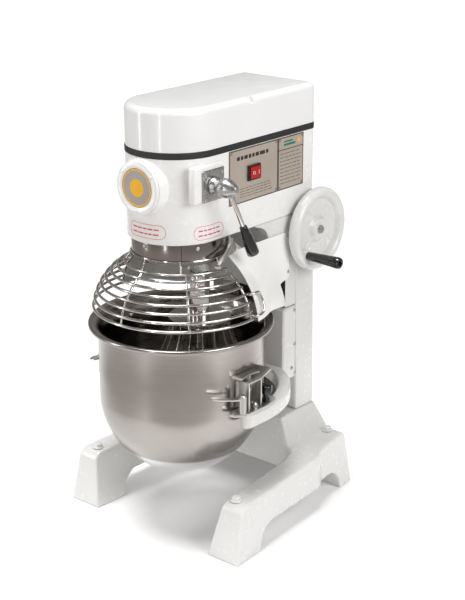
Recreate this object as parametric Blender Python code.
"""Commercial planetary stand mixer with a 20 litre bowl, as separate parts.

Metres, +Z up. Every part is drawn in machine coordinates: the bowl's axis is
X = 0, Y = 0, the floor is Z = 0, the operator stands at -Y and +X is on the
operator's right. The empty "machine" then centres the whole on the origin.
"""
import math

import bmesh
import bpy
from mathutils import Matrix, Vector

for old in list(bpy.data.objects):
    bpy.data.objects.remove(old, do_unlink=True)

# ---------------------------------------------------------------- dimensions
GAP = 0.0003            # between neighbouring solids
RUN = 0.00008           # smallest clearance of a turning shaft

BOWL_R = 0.160          # bowl, outside of the wall
BOWL_WALL = 0.0014
RIM_R = 0.1783          # outer edge of the rolled rim
RIM_Z = 0.4195
BOWL_BOTTOM = 0.1115

HEAD_HALF = 0.0924      # gearbox housing
HEAD_FRONT_Y = -0.010   # centre of its round front
HEAD_BACK_Y = 0.301
HEAD_LOW = 0.594
HEAD_TOP = 0.7537
BAND_TOP = 0.7660
COVER_TOP = 0.844

COLLAR_R = 0.092
COLLAR_LOW = 0.5533

COLUMN_LOW = 0.1733
COLUMN_BACK = 0.300
COLUMN_WALL_Y = 0.2385  # front of the column behind the slideway
COLUMN_STEP = 0.4670    # above this the column comes forward
WAY_FRONT = 0.2062
RIBS = 5                # upright wires of the guard
POST_X = 0.0925         # half width of the column in front, above the carriage

BASE_TOP = 0.173
FOOT_TOP = 0.110
YOKE_Y = 0.030          # centre of the yoke's arc
YOKE_R = 0.194
YOKE_IN = 0.168
YOKE_LOW = 0.250
YOKE_TOP = 0.278
PIN_X = 0.181           # bowl locating pins, on the bowl's axis

AGITATOR_X = 0.048      # planet offset
SHAFT_R = 0.0125
MAIN_R = 0.013
INPUT_Y = 0.075
SPUR_MODULE = INPUT_Y / 24      # 32 and 16 teeth, 24 and 24 teeth
RING_MODULE = AGITATOR_X / 12   # 36 teeth inside, 12 on the planet
MOTOR_Y = 0.215
INPUT_PITCH_R = 0.056   # belt drive, 2 to 1
MOTOR_PITCH_R = 0.028
BELT_DEPTH = 0.0035     # from the pitch line to the bottom of the groove

WHEEL_Y = 0.281         # handwheel
WHEEL_Z = 0.556
WHEEL_R = 0.084
SCREW_Y = 0.2625
CRANK_Y = 0.234
CRANK_Z = 0.513

LEVER_Y = -0.025        # gear lever
LEVER_Z = 0.704

SHIELD_TOP = (0.107, 0.562)
SHIELD_LOW = (0.1735, 0.447)
GUARD_TOP = (0.1047, 0.5398)
GUARD_LOW = (0.1670, 0.4525)
GUARD_WIRE = 0.00275
GUARD_START = math.radians(4.5)
GUARD_END = math.radians(-184.5)

CENTRE_Y = (WHEEL_Y + WHEEL_R - RIM_R) / 2

# ----------------------------------------------------------------- materials
COLOURS = {
    "white_enamel": ((0.80, 0.79, 0.77), 0.28, 0.0),
    "cover_enamel": ((0.82, 0.82, 0.81), 0.25, 0.0),
    "brushed_steel": ((0.56, 0.53, 0.50), 0.32, 1.0),
    "polished_steel": ((0.72, 0.70, 0.68), 0.14, 1.0),
    "machined_steel": ((0.40, 0.40, 0.41), 0.38, 1.0),
    "bronze": ((0.55, 0.38, 0.18), 0.40, 1.0),
    "black_rubber": ((0.015, 0.015, 0.016), 0.60, 0.0),
    "black_plastic": ((0.012, 0.012, 0.013), 0.25, 0.0),
    "red_plastic": ((0.55, 0.02, 0.02), 0.25, 0.0),
    "panel_metal": ((0.47, 0.41, 0.35), 0.35, 0.6),
    "badge_grey": ((0.36, 0.33, 0.31), 0.40, 0.3),
    "motor_grey": ((0.22, 0.24, 0.26), 0.45, 0.4),
}


def material(node, look):
    """Give each part its own Principled material."""
    colour, roughness, metallic = COLOURS[look]
    made = bpy.data.materials.new(node)
    made.use_nodes = True
    shader = made.node_tree.nodes["Principled BSDF"]
    shader.inputs["Base Color"].default_value = (*colour, 1.0)
    shader.inputs["Roughness"].default_value = roughness
    shader.inputs["Metallic"].default_value = metallic
    return made


# -------------------------------------------------------------- mesh helpers
def as_object(name, bm):
    """Close a bmesh into an object whose normals face outward."""
    bmesh.ops.recalc_face_normals(bm, faces=bm.faces)
    mesh = bpy.data.meshes.new(name)
    bm.to_mesh(mesh)
    bm.free()
    made = bpy.data.objects.new(name, mesh)
    bpy.context.scene.collection.objects.link(made)
    return made


def loft(name, rings, ring_closed=False):
    """Skin rings of equal length: capped at both ends, or joined end to end."""
    bm = bmesh.new()
    rows = [[bm.verts.new(point) for point in ring] for ring in rings]
    pairs = list(zip(rows, rows[1:]))
    if ring_closed:
        pairs.append((rows[-1], rows[0]))
    else:
        bm.faces.new(list(reversed(rows[0])))
        bm.faces.new(rows[-1])
    for low, high in pairs:
        for i in range(len(low)):
            j = (i + 1) % len(low)
            bm.faces.new((low[i], low[j], high[j], high[i]))
    return as_object(name, bm)


def along(axis, u, v, w):
    """Place plan point (u, v) at height w along the named axis."""
    if axis == "X":
        return Vector((w, u, v))
    if axis == "Y":
        return Vector((u, w, v))
    return Vector((u, v, w))


def prism(name, outline, low, high, axis="Z"):
    rings = [[along(axis, u, v, w) for u, v in outline] for w in (low, high)]
    return loft(name, rings)


def arc(cx, cy, radius, start, end, steps):
    """Points on an arc, angles in degrees, both ends included."""
    points = []
    for i in range(steps + 1):
        angle = math.radians(start + (end - start) * i / steps)
        points.append((cx + radius * math.cos(angle), cy + radius * math.sin(angle)))
    return points


def circle(radius, steps, cx=0.0, cy=0.0):
    return arc(cx, cy, radius, 0, 360, steps)[:-1]


def lathe(name, profile, steps, centre=(0.0, 0.0), axis="Z", hollow=False):
    """Turn (radius, height) points about an axis through centre."""
    rings = []
    for radius, height in profile:
        ring = circle(radius, steps, *centre)
        rings.append([along(axis, u, v, height) for u, v in ring])
    return loft(name, rings, ring_closed=hollow)


def ring(name, inner, outer, low, high, steps, centre=(0.0, 0.0), axis="Z"):
    profile = [(inner, low), (outer, low), (outer, high), (inner, high)]
    return lathe(name, profile, steps, centre, axis, hollow=True)


def box(name, low, high):
    outline = [(low[0], low[1]), (high[0], low[1]), (high[0], high[1]), (low[0], high[1])]
    return prism(name, outline, low[2], high[2])


def bore(radius, steps):
    """Corner radius of a faceted hole that a shaft of this radius turns in."""
    return (radius + RUN) / math.cos(math.pi / steps)


def bake(obj):
    """Replace an object's mesh by what its modifiers make of it."""
    graph = bpy.context.evaluated_depsgraph_get()
    mesh = bpy.data.meshes.new_from_object(obj.evaluated_get(graph))
    obj.modifiers.clear()
    obj.data = mesh


def boolean(target, tool, operation):
    modifier = target.modifiers.new(operation.lower(), "BOOLEAN")
    modifier.operation = operation
    modifier.solver = "EXACT"
    modifier.object = tool
    bake(target)
    bpy.data.objects.remove(tool, do_unlink=True)
    return target


def unite(target, *tools):
    for tool in tools:
        boolean(target, tool, "UNION")
    return target


def carve(target, *tools):
    for tool in tools:
        boolean(target, tool, "DIFFERENCE")
    return target


def bevel(obj, width, segments, angle=35):
    modifier = obj.modifiers.new("bevel", "BEVEL")
    modifier.width = width
    modifier.segments = segments
    modifier.limit_method = "ANGLE"
    modifier.angle_limit = math.radians(angle)
    bake(obj)
    return obj


def wire(name, points, radius, cyclic=False, resolution=1):
    """A round wire along a polyline, from a bevelled curve with filled caps."""
    curve = bpy.data.curves.new(name, "CURVE")
    curve.dimensions = "3D"
    curve.bevel_depth = radius
    curve.bevel_resolution = resolution
    curve.use_fill_caps = True
    spline = curve.splines.new("POLY")
    spline.points.add(len(points) - 1)
    for knot, point in zip(spline.points, points):
        knot.co = (*point, 1.0)
    spline.use_cyclic_u = cyclic
    made = bpy.data.objects.new(name, curve)
    bpy.context.scene.collection.objects.link(made)
    graph = bpy.context.evaluated_depsgraph_get()
    mesh = bpy.data.meshes.new_from_object(made.evaluated_get(graph))
    bpy.data.objects.remove(made, do_unlink=True)
    solid = bpy.data.objects.new(name, mesh)
    bpy.context.scene.collection.objects.link(solid)
    return solid


def gather(name, objects):
    """Several solids that don't touch, in one mesh."""
    bm = bmesh.new()
    for obj in objects:
        bm.from_mesh(obj.data)
        bpy.data.objects.remove(obj, do_unlink=True)
    return as_object(name, bm)


def mirrored(obj, name):
    """A copy on the other side of the X = 0 plane."""
    mesh = obj.data.copy()
    mesh.transform(Matrix.Scale(-1, 4, Vector((1, 0, 0))))
    mesh.flip_normals()
    made = bpy.data.objects.new(name, mesh)
    bpy.context.scene.collection.objects.link(made)
    return made


def bent_arc(top, low, turn, steps):
    """(radius, height) points on an arc that bulges outward from top to low."""
    chord = Vector((low[0] - top[0], low[1] - top[1]))
    half = math.radians(turn) / 2
    radius = chord.length / (2 * math.sin(half))
    outward = Vector((-chord.y, chord.x)).normalized()
    middle = Vector(((top[0] + low[0]) / 2, (top[1] + low[1]) / 2))
    centre = middle - outward * radius * math.cos(half)
    start = math.atan2(top[1] - centre.y, top[0] - centre.x)
    points = []
    for i in range(steps + 1):
        angle = start - 2 * half * i / steps
        points.append((centre.x + radius * math.cos(angle), centre.y + radius * math.sin(angle)))
    return points


machine = bpy.data.objects.new("machine", None)
bpy.context.scene.collection.objects.link(machine)
machine.location = (0.0, -CENTRE_Y, 0.0)


def face_outward(obj):
    bm = bmesh.new()
    bm.from_mesh(obj.data)
    bmesh.ops.recalc_face_normals(bm, faces=bm.faces)
    bm.to_mesh(obj.data)
    bm.free()


def add(obj, look, pivot=(0.0, 0.0, 0.0), smooth=40):
    """Finish a part: its own material, shading, and its origin on its pivot."""
    face_outward(obj)
    obj.data.materials.clear()
    obj.data.materials.append(material(obj.name, look))
    if smooth:
        obj.data.shade_smooth()
        obj.data.set_sharp_from_angle(angle=math.radians(smooth))
    obj.data.transform(Matrix.Translation(-Vector(pivot)))
    obj.location = pivot
    obj.parent = machine
    return obj


# ---------------------------------------------------------------------- base
def rail(name):
    """One leg of the base with its front and rear foot, on the right side."""
    sole = [(0.1460, -0.0985), (0.2205, -0.0985), (0.2055, 0.187), (0.1905, 0.214),
            (0.1765, 0.336), (0.100, 0.336), (0.100, 0.192), (0.131, 0.172), (0.1340, 0.109)]
    top = [(0.1700, -0.0735), (0.2115, -0.0735), (0.1975, 0.187), (0.1830, 0.213),
           (0.1685, 0.3165), (0.104, 0.3165), (0.104, 0.192), (0.141, 0.172), (0.1555, 0.109)]
    rings = [[(x, y, 0.0) for x, y in sole], [(x, y, 0.125) for x, y in top]]
    leg = loft(name, rings)
    side = [(-0.12, 0.0), (-0.0194, 0.0)]
    side += [(-0.0194 + 0.0454 * (1 - math.cos(a)), 0.048 * math.sin(a))
             for a in (math.radians(15 * i) for i in range(2, 7))]
    side += [(0.291 - 0.046 * (1 - math.cos(a)), 0.048 * math.sin(a))
             for a in (math.radians(15 * i) for i in range(6, 1, -1))]
    side += [(0.291, 0.0), (0.36, 0.0), (0.36, 0.1095), (0.3180, 0.1095)]
    side += [(0.3130, 0.1160), (0.3030, 0.1190)]
    side += [(-0.0560, FOOT_TOP), (-0.0660, 0.1090), (-0.0735, 0.1050), (-0.0790, 0.0985)]
    side += [(-0.0808, 0.0905), (-0.12, 0.0905)]
    return boolean(leg, prism("side", side, 0.05, 0.26, axis="X"), "INTERSECT")


def rectangle(half, low, high, z):
    return [(-half, low, z), (half, low, z), (half, high, z), (-half, high, z)]


def base_casting():
    right = bevel(rail("base_casting"), 0.0045, 2)
    left = mirrored(right, "left")
    block = loft("block", [rectangle(0.1255, 0.180, 0.3245, 0.066),
                           rectangle(0.1230, 0.183, 0.3210, 0.116),
                           rectangle(0.1012, 0.188, 0.3005, BASE_TOP)])
    hollow = loft("hollow", [rectangle(0.112, 0.192, 0.312, 0.055),
                             rectangle(0.088, 0.199, 0.290, 0.160)])
    base = unite(right, left, block)
    return add(carve(base, hollow), "white_enamel")


def foot_bolt(name, x, y, z):
    washer = lathe(name, [(0.0115, z), (0.0115, z + 0.002)], 16, (x, y))
    head = lathe("head", [(0.0085, z + 0.001), (0.0085, z + 0.008), (0.0070, z + 0.0095)], 6, (x, y))
    return add(unite(washer, head), "machined_steel", smooth=None)


# -------------------------------------------------------------------- column
def column_casting():
    body = loft("column_casting", [rectangle(0.1005, COLUMN_WALL_Y, COLUMN_BACK, COLUMN_LOW),
                                   rectangle(0.0920, COLUMN_WALL_Y, COLUMN_BACK, HEAD_LOW - GAP)])
    front = loft("front", [rectangle(0.0922, 0.188, 0.262, COLUMN_STEP),
                           rectangle(0.0914, 0.188, 0.262, HEAD_LOW - GAP - 0.0002)])
    body = unite(bevel(body, 0.006, 2), bevel(front, 0.003, 1))
    under_head = HEAD_LOW - GAP - 0.0002
    gusset = [(0.196, 0.505), (0.157, 0.515), (0.152, 0.565), (0.148, 0.574), (0.140, 0.582),
              (0.128, 0.588), (0.112, 0.5925), (0.112, under_head), (0.196, under_head)]
    unite(body, prism("gusset", gusset, -0.0912, 0.0912, "X"))
    for sign in (1, -1):
        inner, outer = sorted((0.0668 * sign, POST_X * sign))
        unite(body, box("post", (inner, 0.2075, 0.4045), (outer, 0.2420, COLUMN_STEP + 0.003)))
    cavity = box("cavity", (-0.080, 0.2475, 0.180), (0.080, 0.2915, 0.584))
    slot = box("slot", (-0.0128, 0.230, 0.228), (0.0128, 0.250, 0.342))
    hole = lathe("hole", [(bore(0.008, 24), 0.070), (bore(0.008, 24), 0.110)], 24,
                 (WHEEL_Y, WHEEL_Z), "X")
    return add(carve(body, cavity, slot, hole), "white_enamel")


def dovetail(front_half, back_half, front_y, back_y):
    return [(-front_half, front_y), (front_half, front_y), (back_half, back_y), (-back_half, back_y)]


def slideway():
    top = COLUMN_STEP - 0.001
    bar = prism("slideway", dovetail(0.066, 0.055, WAY_FRONT, COLUMN_WALL_Y - GAP), 0.1736, top)
    unite(bar, box("plate", (-POST_X, 0.2045, 0.4050), (POST_X, 0.2072, top)))
    return add(carve(bar, box("slot", (-0.0235, 0.19, 0.187), (0.0235, 0.25, 0.452))), "machined_steel")


# ---------------------------------------------------------------------- head
def housing(inset, steps=20):
    """Plan of the head: round front, straight sides, rounded back corners."""
    half = HEAD_HALF - inset
    back = HEAD_BACK_Y - inset
    corner = 0.016 - min(inset, 0.010)
    points = arc(0, HEAD_FRONT_Y, half, -180, 0, steps)
    points += arc(half - corner, back - corner, corner, 0, 90, 3)
    points += arc(-half + corner, back - corner, corner, 90, 180, 3)
    return points


def level(outline, z):
    return [(x, y, z) for x, y in outline]


def head_casting():
    wall = 0.009
    head = loft("head_casting", [level(housing(0.003), HEAD_LOW), level(housing(0.0), HEAD_LOW + 0.003),
                                 level(housing(0.0), HEAD_TOP), level(housing(wall), HEAD_TOP),
                                 level(housing(wall), HEAD_LOW + 0.010)])
    nose = [(0.0530, -0.080), (0.0530, -0.101), (0.0520, -0.107), (0.0508, -0.1090)]
    unite(head, lathe("nose", nose, 32, (0.0, 0.700), "Y"))
    boss = box("boss", (0.086, -0.073, 0.675), (0.102, 0.008, 0.7435))
    unite(head, bevel(boss, 0.004, 1))
    inside = prism("inside", housing(wall, 20), HEAD_LOW + 0.010, HEAD_TOP + 0.01)
    shaft_hole = lathe("shaft_hole", [(0.030, 0.59), (0.030, 0.61)], 24)
    lever_hole = lathe("lever_hole", [(bore(0.007, 20), 0.07), (bore(0.007, 20), 0.11)], 20,
                       (LEVER_Y, LEVER_Z), "X")
    return add(carve(head, inside, shaft_hole, lever_hole), "white_enamel")


def trim_band():
    rings = [level(housing(-0.001), HEAD_TOP + GAP), level(housing(-0.001), BAND_TOP),
             level(housing(0.006), BAND_TOP), level(housing(0.006), HEAD_TOP + GAP)]
    return add(loft("trim_band", rings, ring_closed=True), "black_rubber")


def top_cover():
    low = BAND_TOP + GAP
    wall = 0.003
    edge = [(0.0155, COVER_TOP), (0.0085, 0.8425), (0.0035, 0.838), (0.0008, 0.830), (0.0, 0.821)]
    rings = [level(housing(0.0155 + wall), COVER_TOP - wall), level(housing(wall), 0.820)]
    rings += [level(housing(wall), low), level(housing(0.0), low)]
    rings += [level(housing(inset), z) for inset, z in reversed(edge)]
    return add(loft("top_cover", rings), "cover_enamel")


def attachment_hub():
    face = -0.1150
    floor = face + 0.0022   # the badge lies in a shallow pocket, just below the rim
    edge = [(0.0500, -0.1093), (0.0505, face + 0.002), (0.0485, face), (0.0362, face), (0.0362, floor)]
    add(lathe("attachment_hub", edge, 40, (0.0, 0.700), "Y"), "white_enamel")
    badge = lathe("hub_badge", [(0.0356, floor - GAP), (0.0356, face + 0.0006), (0.0350, face + GAP)],
                  40, (0.0, 0.700), "Y")
    add(badge, "badge_grey")


def control_panel():
    side = HEAD_HALF + GAP
    add(box("control_panel", (side, 0.032, 0.650), (side + 0.0012, 0.1768, 0.7528)), "panel_metal",
        smooth=None)
    add(box("rating_plate", (side, 0.1776, 0.650), (side + 0.0012, 0.257, 0.7528)), "panel_metal",
        smooth=None)
    face = side + 0.0012 + GAP
    bezel = box("switch_bezel", (face, 0.084, 0.6885), (face + 0.0035, 0.1205, 0.7180))
    carve(bezel, box("well", (face + 0.0005, 0.0875, 0.6915), (face + 0.01, 0.1170, 0.7150)))
    add(bezel, "black_plastic", smooth=None)
    middle = 0.10225
    centre = 0.70325
    low = face + 0.0008
    outline = [(0.0885, low + 0.0024), (middle, low), (0.1160, low + 0.0024),
               (0.1160, low + 0.0072), (middle, low + 0.0050), (0.0885, low + 0.0044)]
    rings = [[(x, y, z) for y, x in outline] for z in (centre - 0.0112, centre + 0.0112)]
    add(loft("rocker", rings), "red_plastic", pivot=(low, middle, centre), smooth=None)


# --------------------------------------------------------------- gear change
def gear_change():
    plate = box("gear_plate", (0.1023, LEVER_Y - 0.030, 0.6752), (0.1053, LEVER_Y + 0.030, 0.7348))
    hole = lathe("hole", [(bore(0.007, 20), 0.10), (bore(0.007, 20), 0.11)], 20, (LEVER_Y, LEVER_Z), "X")
    add(carve(bevel(plate, 0.0015, 1), hole), "machined_steel")
    pivot = (0.1056, LEVER_Y, LEVER_Z)
    hub = [(0.007, 0.062), (0.007, 0.1057), (0.0165, 0.1057), (0.0172, 0.1090), (0.0138, 0.1165),
           (0.0170, 0.1240), (0.0178, 0.1330), (0.0170, 0.1400), (0.0125, 0.1500), (0.0060, 0.1590)]
    crank = [(LEVER_Y - 0.0020, LEVER_Z - 0.0050), (LEVER_Y + 0.0160, LEVER_Z + 0.0035),
             (LEVER_Y + 0.0125, LEVER_Z + 0.0110), (LEVER_Y - 0.0050, LEVER_Z + 0.0030)]
    crank = prism("crank", crank, 0.0605, 0.0680, "X")
    add(unite(lathe("lever_hub", hub, 20, (LEVER_Y, LEVER_Z), "X"), crank), "machined_steel", pivot)
    root = Vector((0.1395, LEVER_Y, LEVER_Z))
    tip = Vector((0.1475, 0.036, 0.571))
    way = (tip - root).normalized()
    add(rod("lever_rod", root + way * 0.0205, root + way * 0.0845, [0.0045, 0.0045], 12),
        "polished_steel", pivot)
    start = root + way * (0.0845 + GAP)
    add(rod("lever_grip", start, tip, [0.0070, 0.0082, 0.0105, 0.0120, 0.0118, 0.0090], 16),
        "black_plastic", pivot)


def rod(name, start, end, radii, steps):
    """A straight round bar whose radius runs through the given values."""
    turn = (end - start).to_track_quat("Z", "Y").to_matrix().to_4x4()
    length = (end - start).length
    stops = [0.0, 0.30, 0.62, 0.90, 0.97, 1.0] if len(radii) == 6 else [0.0, 1.0]
    made = lathe(name, [(r, length * s) for r, s in zip(radii, stops)], steps)
    made.data.transform(Matrix.Translation(start) @ turn)
    return made


def shift_parts():
    hole = bore(MAIN_R, 24)
    clutch = [(hole, 0.6635), (0.026, 0.6635), (0.026, 0.6728), (0.0200, 0.6728), (0.0200, 0.6802),
              (0.026, 0.6802), (0.026, 0.6895), (hole, 0.6895)]
    add(lathe("dog_clutch", clutch, 24, hollow=True), "machined_steel", (0, 0, 0.6765))
    low, high = 0.6735, 0.6795
    prong = arc(0, 0, 0.0206, -140, 70, 14) + arc(0, 0, 0.034, 70, -140, 14)
    fork = prism("shift_fork", prong, low, high)
    stem = prism("stem", [(0.026, -0.014), (0.0700, -0.0140), (0.0700, -0.0070), (0.0300, -0.0040)],
                 low + 0.0001, high - 0.0001)
    post = box("post", (0.0590, -0.0145, low + 0.002), (0.0695, -0.0065, 0.6975))
    add(unite(fork, stem, post), "bronze", (0, 0, 0.6765))


# -------------------------------------------------------------------- gears
def gear_outline(teeth, module, centre=(0.0, 0.0), phase=0.0, share=0.46, tip=0.8, root=1.0):
    """Plan of a spur gear with straight-sided teeth; phase is in degrees."""
    pitch_r = teeth * module / 2
    step = 2 * math.pi / teeth
    slope = math.tan(math.radians(20))
    thick = share * math.pi * module
    tip_half = (thick / 2 - tip * module * slope) / pitch_r
    root_half = (thick / 2 + root * module * slope) / pitch_r
    points = []
    for i in range(teeth):
        middle = math.radians(phase) + i * step
        for turn, reach in ((-root_half, -root), (-tip_half, tip), (tip_half, tip), (root_half, -root)):
            radius = pitch_r + reach * module
            points.append((centre[0] + radius * math.cos(middle + turn),
                           centre[1] + radius * math.sin(middle + turn)))
    return points


def gear(name, outline, low, high, hole_r, centre=(0.0, 0.0), steps=24):
    blank = prism(name, outline, low, high)
    hole = lathe("hole", [(hole_r, low - 0.01), (hole_r, high + 0.01)], steps, centre)
    return carve(blank, hole)


def gear_train():
    tight = MAIN_R + GAP
    slow = gear("gear_slow", gear_outline(32, SPUR_MODULE, phase=90), 0.690, 0.704, tight)
    add(slow, "machined_steel")
    fast = gear("gear_fast", gear_outline(24, SPUR_MODULE, phase=90), 0.636, 0.650, bore(MAIN_R, 24))
    add(fast, "machined_steel")
    shaft = lathe("input_shaft", [(0.010, 0.608), (0.010, 0.7745)], 20, (0.0, INPUT_Y))
    small = prism("small", gear_outline(16, SPUR_MODULE, (0.0, INPUT_Y), 270 + 180 / 16), 0.690, 0.704)
    large = prism("large", gear_outline(24, SPUR_MODULE, (0.0, INPUT_Y), 270 + 180 / 24), 0.636, 0.650)
    add(unite(shaft, small, large), "machined_steel", (0.0, INPUT_Y, 0.0))


def planetary():
    low = COLLAR_LOW
    add(ring("collar", 0.0883, COLLAR_R, low, HEAD_LOW - GAP, 48), "polished_steel")
    blank = lathe("ring_gear", [(0.0880, 0.572), (0.0880, 0.588)], 48)
    spaces = prism("spaces", gear_outline(36, RING_MODULE, share=0.54, tip=1.0, root=0.8), 0.56, 0.60)
    add(carve(blank, spaces), "machined_steel")
    carrier = lathe("planet_carrier", [(0.0870, low + 0.0002), (0.0870, low + 0.010)], 48)
    boss = lathe("boss", [(0.0205, 0.527), (0.0225, 0.531), (0.0225, 0.560)], 28, (AGITATOR_X, 0.0))
    hole = lathe("hole", [(bore(SHAFT_R, 28), 0.51), (bore(SHAFT_R, 28), 0.60)], 28, (AGITATOR_X, 0.0))
    add(carve(unite(carrier, boss), hole), "machined_steel")
    add(lathe("main_shaft", [(0.0195, 0.5636), (0.0195, 0.5700), (MAIN_R, 0.5720), (MAIN_R, 0.738)], 24),
        "machined_steel")
    bearing = ring("main_bearing", bore(MAIN_R, 24), 0.030 - GAP, 0.5943, 0.6037, 24)
    add(bearing, "machined_steel")
    pinion = gear("planet_pinion", gear_outline(12, RING_MODULE, (AGITATOR_X, 0.0)), 0.5725, 0.5875,
                  SHAFT_R + GAP, (AGITATOR_X, 0.0))
    add(pinion, "machined_steel", (AGITATOR_X, 0.0, 0.0))


def agitator():
    pivot = (AGITATOR_X, 0.0, 0.0)
    centre = (AGITATOR_X, 0.0)
    shaft = lathe("agitator_shaft", [(SHAFT_R, 0.4760), (SHAFT_R, 0.5880)], 28, centre)
    add(shaft, "polished_steel", pivot)
    hub = lathe("whisk", [(0.016, 0.425), (0.019, 0.430), (0.019, 0.520), (0.0165, 0.5235)], 24, centre)
    plate = lathe("plate", [(0.060, 0.4290), (0.060, 0.4370)], 28, centre)
    socket = lathe("socket", [(SHAFT_R + GAP, 0.4757), (SHAFT_R + GAP, 0.53)], 28, centre)
    whisk = carve(unite(hub, plate), socket)
    loops = [whisk_loop(i, 6) for i in range(6)]
    add(unite(whisk, gather("wires", loops)), "polished_steel", pivot)


def whisk_loop(index, count):
    """One balloon wire: down from the plate, under the middle and up again."""
    lowest = 0.143 + 0.0046 * index
    widest = 0.098
    middle_z = 0.285
    turn = math.pi * index / count
    side = [(0.054, 0.4335), (0.060, 0.405), (0.078, 0.365), (0.092, 0.325)]
    for i in range(0, 10):
        angle = math.radians(10 * i)
        side.append((widest * math.cos(angle), middle_z - (middle_z - lowest) * math.sin(angle)))
    points = side[:-1] + [(0.0, lowest)] + [(-r, z) for r, z in reversed(side[:-1])]
    path = [(AGITATOR_X + r * math.cos(turn), r * math.sin(turn), z) for r, z in points]
    return wire("loop", path, 0.0020, resolution=0)


# --------------------------------------------------------------------- drive
def motor_drive():
    can = lathe("motor", [(0.050, 0.6046), (0.060, 0.610), (0.060, 0.738), (0.050, 0.744)], 32, (0.0, MOTOR_Y))
    add(can, "motor_grey")
    pivot = (0.0, MOTOR_Y, 0.0)
    groove = MOTOR_PITCH_R - BELT_DEPTH
    shaft = [(0.009, 0.7446), (0.009, 0.775), (0.032, 0.775), (groove, 0.785), (0.032, 0.795),
             (0.012, 0.795), (0.012, 0.800)]
    add(lathe("motor_pulley", shaft, 28, (0.0, MOTOR_Y)), "machined_steel", pivot)
    groove = INPUT_PITCH_R - BELT_DEPTH
    wheel = [(0.022, 0.775), (0.060, 0.775), (groove, 0.785), (0.060, 0.795), (0.022, 0.795)]
    add(lathe("input_pulley", wheel, 40, (0.0, INPUT_Y)), "machined_steel", (0.0, INPUT_Y, 0.0))
    add(drive_belt(), "black_rubber")


def belt_outline(offset):
    """Tangent line round both pulleys, that far outside their grooves."""
    big = INPUT_PITCH_R - BELT_DEPTH + offset
    small = MOTOR_PITCH_R - BELT_DEPTH + offset
    lean = math.degrees(math.asin((big - small) / (MOTOR_Y - INPUT_Y)))
    points = arc(0, INPUT_Y, big, lean - 180 - 2 * lean, 0 + lean, 20)
    points += arc(0, MOTOR_Y, small, lean, 180 - lean, 14)
    return points


def drive_belt():
    inner = [(x, y, 0.7850) for x, y in belt_outline(0.0006)]
    low = [(x, y, 0.7800) for x, y in belt_outline(0.0085)]
    high = [(x, y, 0.7900) for x, y in belt_outline(0.0085)]
    return loft("drive_belt", [inner, low, high], ring_closed=True)


# ---------------------------------------------------------------------- lift
def lift_drive():
    pivot = (0.0, WHEEL_Y, WHEEL_Z)
    centre = (WHEEL_Y, WHEEL_Z)
    bolt = 0.0085
    wheel = [(bolt, 0.1000), (0.022, 0.1000), (0.024, 0.107), (0.064, 0.107), (0.067, 0.103), (0.074, 0.1005),
             (0.081, 0.103), (WHEEL_R, 0.110), (WHEEL_R, 0.118), (0.081, 0.124), (0.075, 0.1265),
             (0.069, 0.125), (0.066, 0.120), (0.063, 0.1135), (0.026, 0.1135), (0.023, 0.1195),
             (0.0205, 0.1215), (bolt, 0.1215)]
    disc = lathe("handwheel", wheel, 36, centre, "X", hollow=True)
    pin = [(0.0095, 0.112), (0.0095, 0.1270), (0.0040, 0.1270), (0.0040, 0.198)]
    unite(disc, lathe("pin", pin, 14, (CRANK_Y, CRANK_Z), "X"))
    add(disc, "white_enamel", pivot)
    grip = [(bore(0.004, 14), 0.1275), (0.0080, 0.1275), (0.0090, 0.1310), (0.0098, 0.165), (0.0118, 0.196),
            (0.0100, 0.2040), (bore(0.004, 14), 0.205)]
    add(lathe("crank_grip", grip, 18, (CRANK_Y, CRANK_Z), "X", hollow=True), "black_plastic",
        (0.0, CRANK_Y, CRANK_Z))
    shaft = [(0.0091, -0.010), (0.0091, 0.010), (0.008, 0.010), (0.008, 0.1245), (0.0068, 0.1260)]
    add(lathe("wheel_shaft", shaft, 24, centre, "X"), "machined_steel", pivot)
    screw = [(0.008, 0.1815), (0.008, 0.546), (0.0091, 0.546), (0.0091, 0.566), (0.006, 0.566), (0.006, 0.5835)]
    add(lathe("lift_screw", screw, 20, (0.0, SCREW_Y)), "machined_steel", (0.0, SCREW_Y, 0.0))
    nut = lathe("lift_nut", [(0.0135, 0.300), (0.0135, 0.340)], 20, (0.0, SCREW_Y))
    tongue = box("tongue", (-0.0110, 0.2062, 0.305), (0.0110, 0.2560, 0.335))
    hole = lathe("hole", [(bore(0.008, 20), 0.29), (bore(0.008, 20), 0.35)], 20, (0.0, SCREW_Y))
    add(carve(unite(nut, tongue), hole), "bronze")


def carriage():
    front = 0.197
    back = COLUMN_WALL_Y - 0.0005
    outline = [(0.0975, front), (0.0975, back), (0.0556, back), (0.0665, WAY_FRONT - 0.0004),
               (-0.0665, WAY_FRONT - 0.0004), (-0.0556, back), (-0.0975, back), (-0.0975, front)]
    body = bevel(prism("carriage", outline, 0.247, 0.402), 0.003, 1)
    yoke = arc(0, YOKE_Y, YOKE_R, 0, 180, 32)
    yoke += [(-YOKE_R + 0.001, -0.022), (-0.186, -0.032), (-0.174, -0.032), (-YOKE_IN, -0.022)]
    yoke += arc(0, YOKE_Y, YOKE_IN, 180, 0, 28)
    yoke += [(YOKE_IN, -0.022), (0.174, -0.032), (0.186, -0.032), (YOKE_R - 0.001, -0.022)]
    arms = bevel(prism("arms", yoke, YOKE_LOW, YOKE_TOP), 0.003, 1, 50)
    way = prism("way", dovetail(0.0665, 0.0554, WAY_FRONT - 0.0004, 0.240), 0.20, 0.45)
    return add(carve(unite(body, arms), way), "white_enamel")


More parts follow.
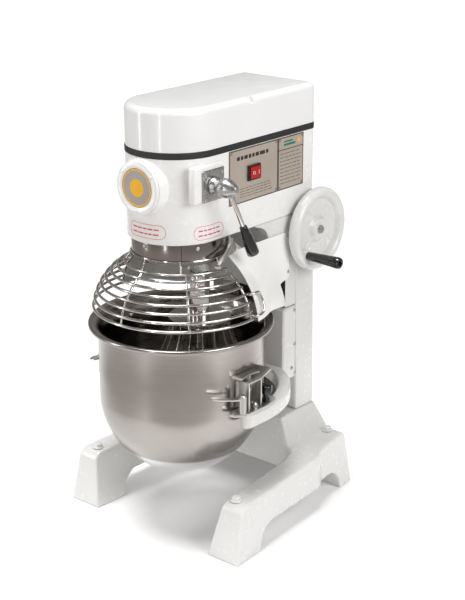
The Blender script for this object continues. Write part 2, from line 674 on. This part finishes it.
# ---------------------------------------------------------------------- bowl
def bowl():
    middle = BOWL_BOTTOM + BOWL_R
    inside = BOWL_R - BOWL_WALL
    angles = [math.radians(a) for a in (6, 20, 34, 48, 62, 76, 90)]
    outer = [(BOWL_R * math.sin(a), middle - BOWL_R * math.cos(a)) for a in angles]
    inner = [(inside * math.sin(a), middle - inside * math.cos(a)) for a in reversed(angles)]
    lip = [(BOWL_R, 0.4060), (0.1635, 0.4105), (0.1700, 0.4125), (0.1755, 0.4105), (RIM_R, 0.4135),
           (RIM_R, 0.4165), (0.1760, RIM_Z), (0.1700, 0.4185), (0.1622, 0.4145), (inside, 0.4080)]
    return add(lathe("bowl", outer + lip + inner, 40), "brushed_steel")


def bowl_side(side, x_sign):
    """Pin, ear plate, bracket, clamp lever and star knob of one side."""
    parts = [locating_pin(), ear_plate(), bowl_bracket(), clamp_lever(), star_knob()]
    looks = ["machined_steel", "polished_steel", "polished_steel", "polished_steel", "black_plastic"]
    pivots = [(0, 0, 0), (0, 0, 0), (0, 0, 0), (0.182, -0.036, 0.284), (0.180, 0.036, 0.284)]
    for part, look, pivot in zip(parts, looks, pivots):
        node = part.name + side
        if x_sign < 0:
            other = mirrored(part, node)
            bpy.data.objects.remove(part, do_unlink=True)
            part = other
        part.name = node
        add(part, look, (pivot[0] * x_sign, pivot[1], pivot[2]))


def locating_pin():
    low = YOKE_TOP + GAP
    return lathe("locating_pin", [(0.0080, low), (0.0080, 0.293), (0.0060, 0.296)], 18, (PIN_X, 0.0))


def ear_plate():
    outline = [(0.1645, -0.054), (0.1760, -0.053), (0.1920, -0.034), (0.1935, 0.026), (0.1870, 0.058),
               (0.1760, 0.066), (0.1600, 0.062), (0.1613, 0.020), (0.1613, -0.015), (0.1600, -0.040)]
    plate = prism("ear_plate", outline, YOKE_TOP + GAP, 0.2840)
    hole = lathe("hole", [(0.0083, 0.27), (0.0083, 0.29)], 18, (PIN_X, 0.0))
    return carve(plate, hole)


def bowl_bracket():
    reach = BOWL_R + 0.0009
    edge = arc(0, 0, reach, 21.9, -9, 6)
    top = prism("bowl_bracket", edge + [(0.188, -0.025), (0.188, 0.012), (0.174, 0.060)], 0.3385, 0.3420)
    low = 0.2840 + GAP
    front = box("front", (0.1650, -0.0249, low), (0.1879, -0.0215, 0.340))
    back = box("back", (0.1650, 0.0110, low), (0.1875, 0.0144, 0.340))
    web = box("web", (0.1620, -0.0105, 0.340), (0.1780, -0.0070, 0.3505))
    tab = prism("tab", arc(0, 0, reach, 7.5, -14, 4) + [(0.1790, -0.034), (0.1735, -0.009), (0.1790, 0.018)],
                0.3480, 0.3510)
    return unite(top, front, back, web, tab)


def clamp_lever():
    x, y, low = 0.182, -0.036, 0.2840 + GAP
    boss = lathe("clamp_lever", [(0.0075, low), (0.0075, 0.3180), (0.0055, 0.3205)], 16, (x, y))
    stations = [(0.182, -0.036, 0.3110, 0.0048), (0.1745, -0.050, 0.3125, 0.0050),
                (0.1660, -0.066, 0.3165, 0.0075), (0.1590, -0.079, 0.3195, 0.0092),
                (0.1545, -0.0875, 0.3210, 0.0070), (0.1530, -0.0905, 0.3215, 0.0030)]
    ahead = Vector((-0.47, -0.883, 0.0)).normalized()
    across = Vector((-ahead.y, ahead.x, 0.0))
    rings = []
    for px, py, pz, half in stations:
        centre = Vector((px, py, pz))
        rise = Vector((0, 0, 0.0016))
        rings.append([centre + across * half + rise * 1.4, centre + rise, centre - across * half + rise * 1.4,
                      centre - across * half - rise * 0.4, centre - rise, centre + across * half - rise * 0.4])
    return unite(boss, loft("blade", rings))


def star_knob():
    x, y, low = 0.180, 0.036, 0.2840 + GAP
    star = []
    for i in range(12):
        radius = 0.0140 if i % 2 == 0 else 0.0105
        angle = math.pi * i / 6
        star.append((x + radius * math.cos(angle), y + radius * math.sin(angle)))
    knob = prism("star_knob", star, 0.3010, 0.3175)
    stem = lathe("stem", [(0.0075, low), (0.0075, 0.2900), (0.0055, 0.2910), (0.0055, 0.3025)], 14, (x, y))
    return unite(bevel(knob, 0.002, 1), stem)


# -------------------------------------------------------- shield and guard
def spread(points, top, low):
    """How far out and down each profile point lies, from 0 at top to 1."""
    shares = []
    for radius, height in points:
        shares.append(((radius - top[0]) / (low[0] - top[0]), (top[1] - height) / (top[1] - low[1])))
    return shares


def shield_wing(name):
    """Right cheek: follows the bowl in front, flat against the column behind."""
    rows = 7
    shares = spread(bent_arc(SHIELD_TOP, SHIELD_LOW, 50, rows), SHIELD_TOP, SHIELD_LOW)
    edges = []
    for turn in (7.0, 13.5, 20.0, 26.5):
        angle = math.radians(turn)
        edges.append((Vector((math.cos(angle), math.sin(angle))) * SHIELD_TOP[0],
                      Vector((math.cos(angle), math.sin(angle))) * SHIELD_LOW[0], SHIELD_LOW[1], 1.0))
    low_edge = [(0.1425, 0.1030, 0.4400, 1.0), (0.1300, 0.1320, 0.4325, 1.3), (0.1175, 0.1610, 0.4240, 2.0),
                (0.1050, 0.1890, 0.4160, 3.0)]
    top_edge = [(0.0935, 0.080), (0.0929, 0.115), (0.0929, 0.150), (0.0929, 0.183)]
    for (x, y, z, power), (tx, ty) in zip(low_edge, top_edge):
        edges.append((Vector((tx, ty)), Vector((x, y)), z, power))
    bm = bmesh.new()
    columns = []
    for top, low, low_z, power in edges:
        column = []
        for out, down in shares:
            flat = top.lerp(low, max(out, 0.0) ** power)
            height = SHIELD_TOP[1] + (low_z - SHIELD_TOP[1]) * down
            column.append(bm.verts.new((flat.x, flat.y, height)))
        columns.append(column)
    cheek_rows = [v for v in columns[-1] if v.co.z > COLUMN_STEP - 0.004]
    columns.append([bm.verts.new((0.0929, 0.216, v.co.z)) for v in cheek_rows])
    for first, second in zip(columns, columns[1:]):
        for i in range(len(second) - 1):
            bm.faces.new((first[i], first[i + 1], second[i + 1], second[i]))
    return thicken(as_sheet(name, bm), 0.0012)


def as_sheet(name, bm):
    """An open sheet whose normals face away from the bowl's axis."""
    for face in bm.faces:
        face.normal_update()
        middle = face.calc_center_median()
        if face.normal.dot(Vector((middle.x, max(middle.y, 0.0) * 0.3, 0.0))) < 0:
            face.normal_flip()
    mesh = bpy.data.meshes.new(name)
    bm.to_mesh(mesh)
    bm.free()
    made = bpy.data.objects.new(name, mesh)
    bpy.context.scene.collection.objects.link(made)
    return made


def thicken(sheet, thickness):
    modifier = sheet.modifiers.new("thickness", "SOLIDIFY")
    modifier.thickness = thickness
    modifier.offset = 1.0
    bake(sheet)
    return sheet


def shield_back():
    """The half cone behind the bowl, between the two wings."""
    rows = 7
    inner = [(r - 0.0015, z) for r, z in bent_arc(SHIELD_TOP, SHIELD_LOW, 50, rows)]
    outer = [(r - GAP, z) for r, z in bent_arc(SHIELD_TOP, SHIELD_LOW, 50, rows)]
    outline = inner + outer[::-1]
    rings = []
    for i in range(17):
        angle = math.radians(31 + 118 * i / 16)
        rings.append([(r * math.cos(angle), r * math.sin(angle), z) for r, z in outline])
    return loft("shield_back", rings)


def splash_shield():
    right = shield_wing("shield_right")
    left = mirrored(right, "shield_left")
    add(right, "white_enamel", smooth=60)
    add(left, "white_enamel", smooth=60)
    add(shield_back(), "white_enamel", smooth=60)
    path = [(0.0990, 0.0300, 0.5925), (0.1010, 0.0260, 0.5800), (0.1070, 0.0080, 0.5700),
            (0.1110, -0.0140, 0.5600), (0.1125, -0.0220, 0.5535)]
    arm = wire("interlock_arm", path, 0.0042)
    plate = lathe("plate", [(0.0075, 0.5495), (0.0075, 0.5545)], 12, (0.1130, -0.0240))
    add(unite(arm, plate), "machined_steel")


def swept(radius, height, angle):
    return (radius * math.cos(angle), radius * math.sin(angle), height)


def wire_guard():
    profile = bent_arc(GUARD_TOP, GUARD_LOW, 55, 14)
    span = GUARD_END - GUARD_START
    hoops = []
    for radius, height in profile[::2]:
        steps = 20
        path = [swept(radius, height, GUARD_START + span * i / steps) for i in range(steps + 1)]
        hoops.append(wire("hoop", path, GUARD_WIRE, resolution=0))
    ribs = []
    inset = math.radians(-0.9)
    for i in range(RIBS):
        angle = GUARD_START + inset + (span - 2 * inset) * i / (RIBS - 1)
        path = [swept(r - 0.0022, z - 0.0012, angle) for r, z in profile[::2]]
        ribs.append(wire("rib", path, 0.0022))
    guard = gather("wire_guard", hoops)
    unite(guard, gather("ribs", ribs))
    circle_path = [swept(0.0962, 0.5610, 2 * math.pi * i / 36) for i in range(36)]
    unite(guard, wire("carrier", circle_path, 0.0030, cyclic=True))
    hangers = []
    for turn in (-92, -150, -2):
        angle = math.radians(turn)
        ends = [(0.0962, 0.5622), (0.0990, 0.5520), (0.1030, 0.5450), (0.1047, 0.5390)]
        hangers.append(wire("hanger", [swept(r, z, angle) for r, z in ends], 0.0022))
    unite(guard, gather("hangers", hangers), guard_handle(profile))
    add(guard, "polished_steel")


def guard_handle(profile):
    upper = profile[8]
    lower = profile[13]
    out = 0.0150
    near = math.radians(4.0)
    far = math.radians(11.5)
    path = [swept(*upper, near), swept(upper[0] + out, upper[1] + 0.004, near),
            swept(upper[0] + out + 0.002, upper[1] + 0.004, far),
            swept(lower[0] + out - 0.002, lower[1] + 0.004, far),
            swept(lower[0] + out - 0.002, lower[1], near), swept(*lower, near)]
    return wire("handle", path, 0.0026)


# --------------------------------------------------------------------- build
base_casting()
for side, sign in (("_right", 1), ("_left", -1)):
    foot_bolt("front_bolt" + side, 0.183 * sign, -0.055, FOOT_TOP + 0.0008)
    foot_bolt("rear_bolt" + side, 0.141 * sign, 0.2950, 0.1195)
column_casting()
slideway()
head_casting()
trim_band()
top_cover()
attachment_hub()
control_panel()
gear_change()
shift_parts()
gear_train()
planetary()
agitator()
motor_drive()
lift_drive()
carriage()
bowl()
bowl_side("_right", 1)
bowl_side("_left", -1)
splash_shield()
wire_guard()
